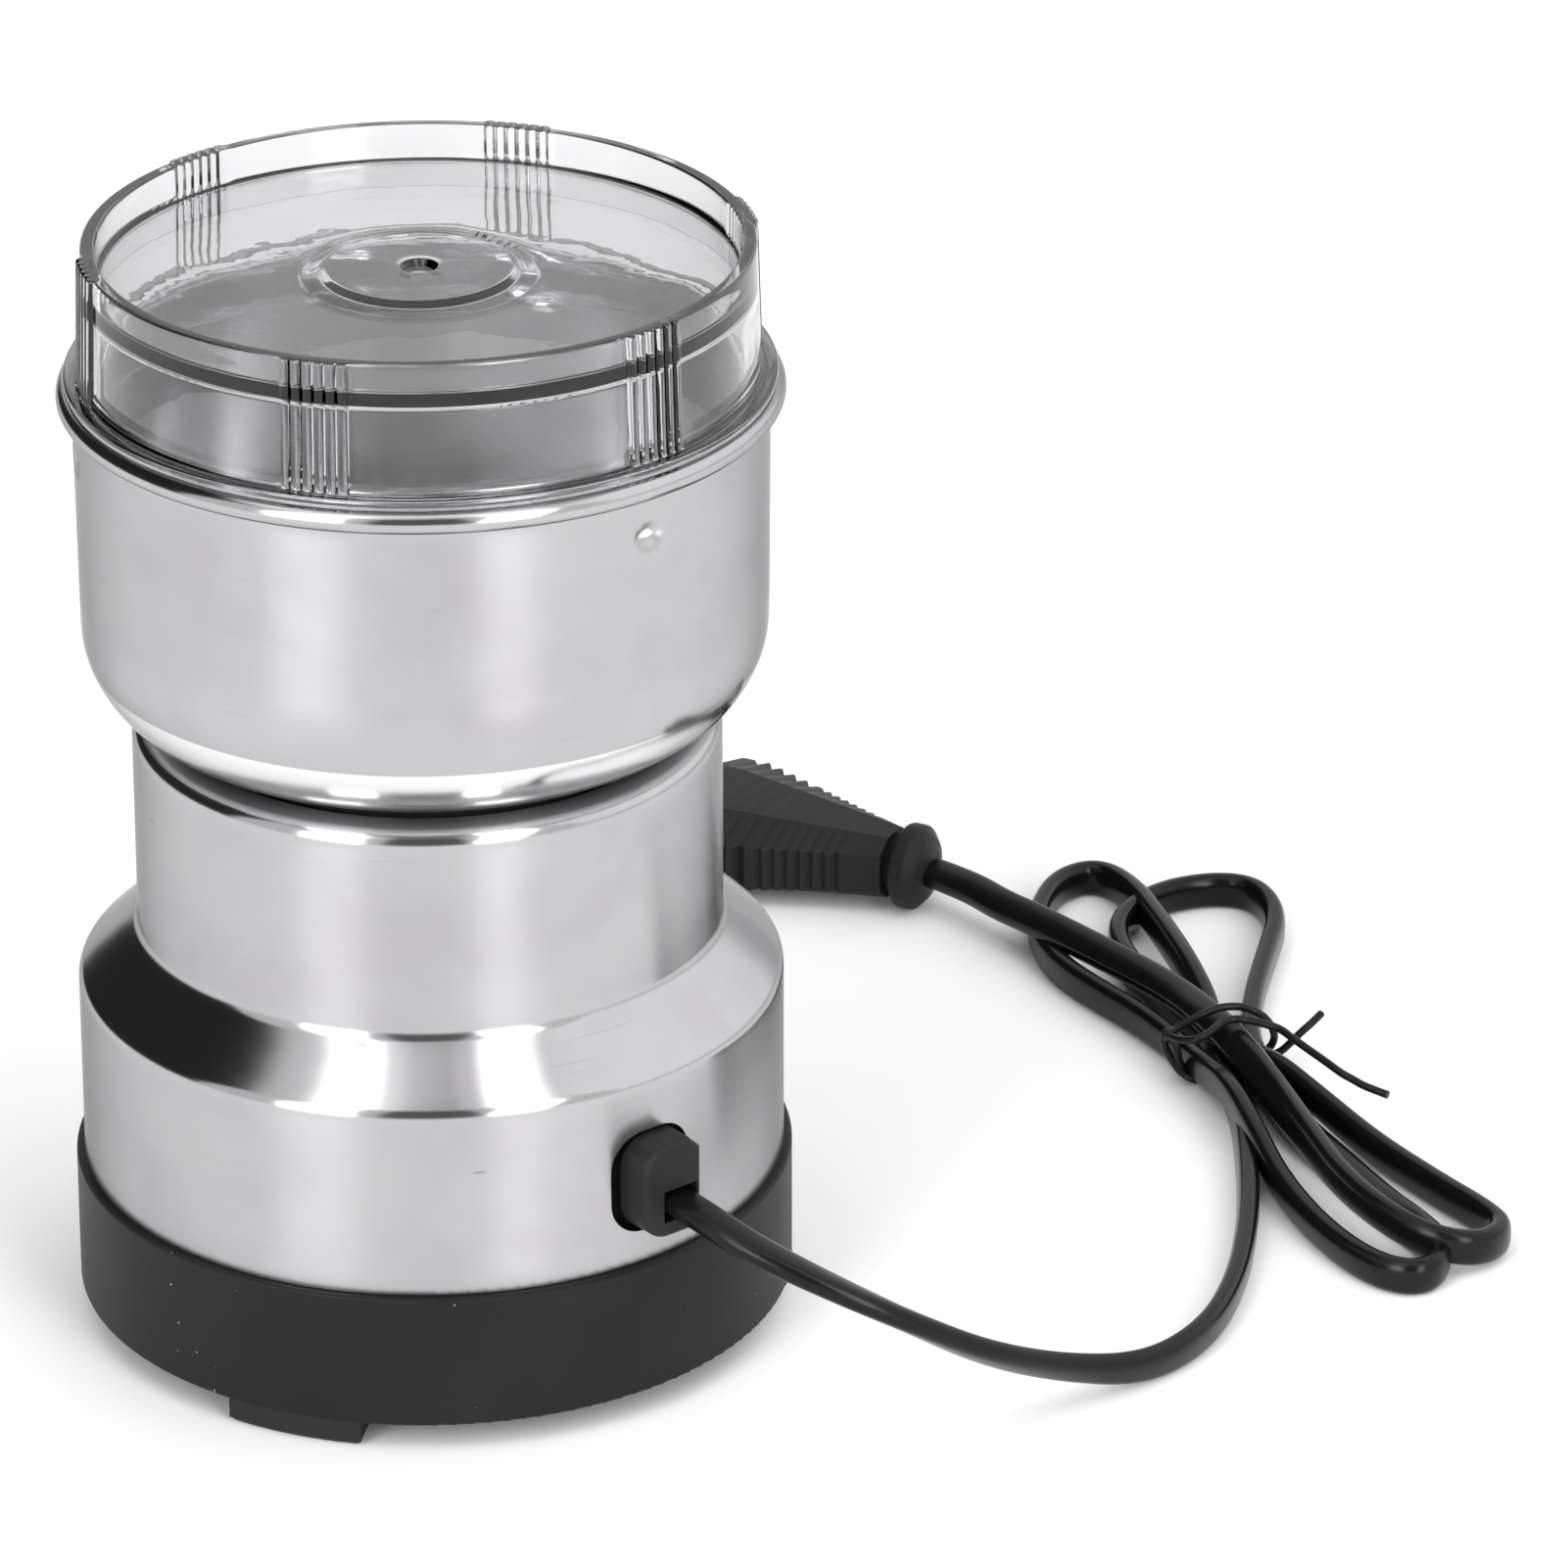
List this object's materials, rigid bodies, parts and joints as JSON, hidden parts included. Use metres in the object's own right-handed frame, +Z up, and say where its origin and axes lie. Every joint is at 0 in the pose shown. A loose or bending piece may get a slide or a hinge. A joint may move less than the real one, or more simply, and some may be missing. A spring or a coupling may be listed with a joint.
{
  "type": "electric spice grinder",
  "caption": "Electric spice grinder: brushed steel drum and cup, clear press-down lid, stacked blades, black base, and a tied mains lead with a two-pin plug.",
  "frame": {"origin": "on the standing plane, on the motor axis, midway between the sides of the base", "axes": "+Z up along the motor axis, -Y the front; the lead leaves 39.3 degrees from the front towards +X"},
  "size_m": [0.2139, 0.222, 0.1652],
  "materials": {
    "charcoal_plastic": "moulded base, satin",
    "brushed_steel": "spun and brushed round, polished at the bends",
    "clear_plastic": "clear, faintly smoky",
    "foot_rubber": "matt",
    "frame_plastic": "moulded, matt",
    "gland_plastic": "moulded, satin",
    "cord_pvc": "soft glossy sheath",
    "tie_wire": "coated wire",
    "plug_plastic": "moulded, satin",
    "pin_metal": "nickel plated",
    "blade_steel": "ground steel",
    "screw_steel": "zinc plated",
    "lamination_steel": "stacked sheet steel",
    "copper_winding": "enamelled copper",
    "commutator_copper": "turned copper",
    "carbon": "pressed carbon",
    "brush_brass": "bent sheet",
    "bracket_zinc": "cast",
    "bearing_steel": "ground",
    "spring_steel": "drawn wire",
    "shaft_steel": "ground",
    "damper_rubber": "matt",
    "switch_plastic": "moulded",
    "wire_pvc": "insulated wire",
    "fan_plastic": "moulded",
    "seal_rubber": "smooth"
  },
  "bodies": {
    "housing": {"base_tray": "charcoal_plastic", "rubber_feet": "foot_rubber", "base_screws": "screw_steel", "housing_shell": "brushed_steel", "inner_frame": "frame_plastic", "microswitch_body": "switch_plastic", "switch_screws": "screw_steel", "switch_tabs": "brush_brass", "stator_core": "lamination_steel", "field_coils": "copper_winding", "lower_motor_bracket": "bracket_zinc", "upper_motor_bracket": "bracket_zinc", "lower_bearing": "bearing_steel", "upper_bearing": "bearing_steel", "motor_bolts": "screw_steel", "motor_nuts": "screw_steel", "motor_dampers": "damper_rubber", "bracket_screws": "screw_steel", "brush_holders": "brush_brass", "carbon_brushes": "carbon", "brush_springs": "spring_steel", "return_springs": "spring_steel", "cord_gland": "gland_plastic", "cord_lead": "cord_pvc", "cord_hank": "cord_pvc", "cord_tail": "cord_pvc", "cord_tie": "tie_wire", "plug_body": "plug_plastic", "plug_pins": "pin_metal", "internal_wires": "wire_pvc"},
    "bowl": {"bowl_shell": "brushed_steel", "bowl_carrier": "frame_plastic", "bowl_bush": "fan_plastic", "shaft_seal": "seal_rubber", "bush_nut": "frame_plastic", "stop_washers": "screw_steel", "stop_screws": "screw_steel"},
    "rotor": {"rotor_shaft": "shaft_steel", "armature_core": "lamination_steel", "armature_windings": "copper_winding", "commutator": "commutator_copper", "cooling_fan": "fan_plastic", "lower_blade": "blade_steel", "blade_spacers": "shaft_steel", "upper_blade": "blade_steel", "blade_nut": "blade_steel"},
    "lid": {"lid": "clear_plastic"},
    "button": {"switch_button": "frame_plastic"}
  },
  "joints": [
    {"name": "bowl_press", "type": "slide", "parent": "housing", "child": "bowl", "axis": [0, 0, 1], "range_m": [-0.0015, 0], "stiffness_N_per_m": 2500, "springref_m": 0.003, "deforming": ["return_springs"]},
    {"name": "lid_lift", "type": "slide", "parent": "bowl", "child": "lid", "axis": [0, 0, 1], "range_m": [0, 0.05]},
    {"name": "rotor_spin", "type": "hinge", "parent": "housing", "child": "rotor", "pos_m": [0, 0, 0.05], "axis": [0, 0, 1], "continuous": true},
    {"name": "switch_press", "type": "slide", "parent": "housing", "child": "button", "axis": [0, 0, 1], "range_m": [-0.0015, 0]}
  ],
  "couplings": [
    {"joint": "switch_press", "follows": "bowl_press", "ratio": 1}
  ]
}
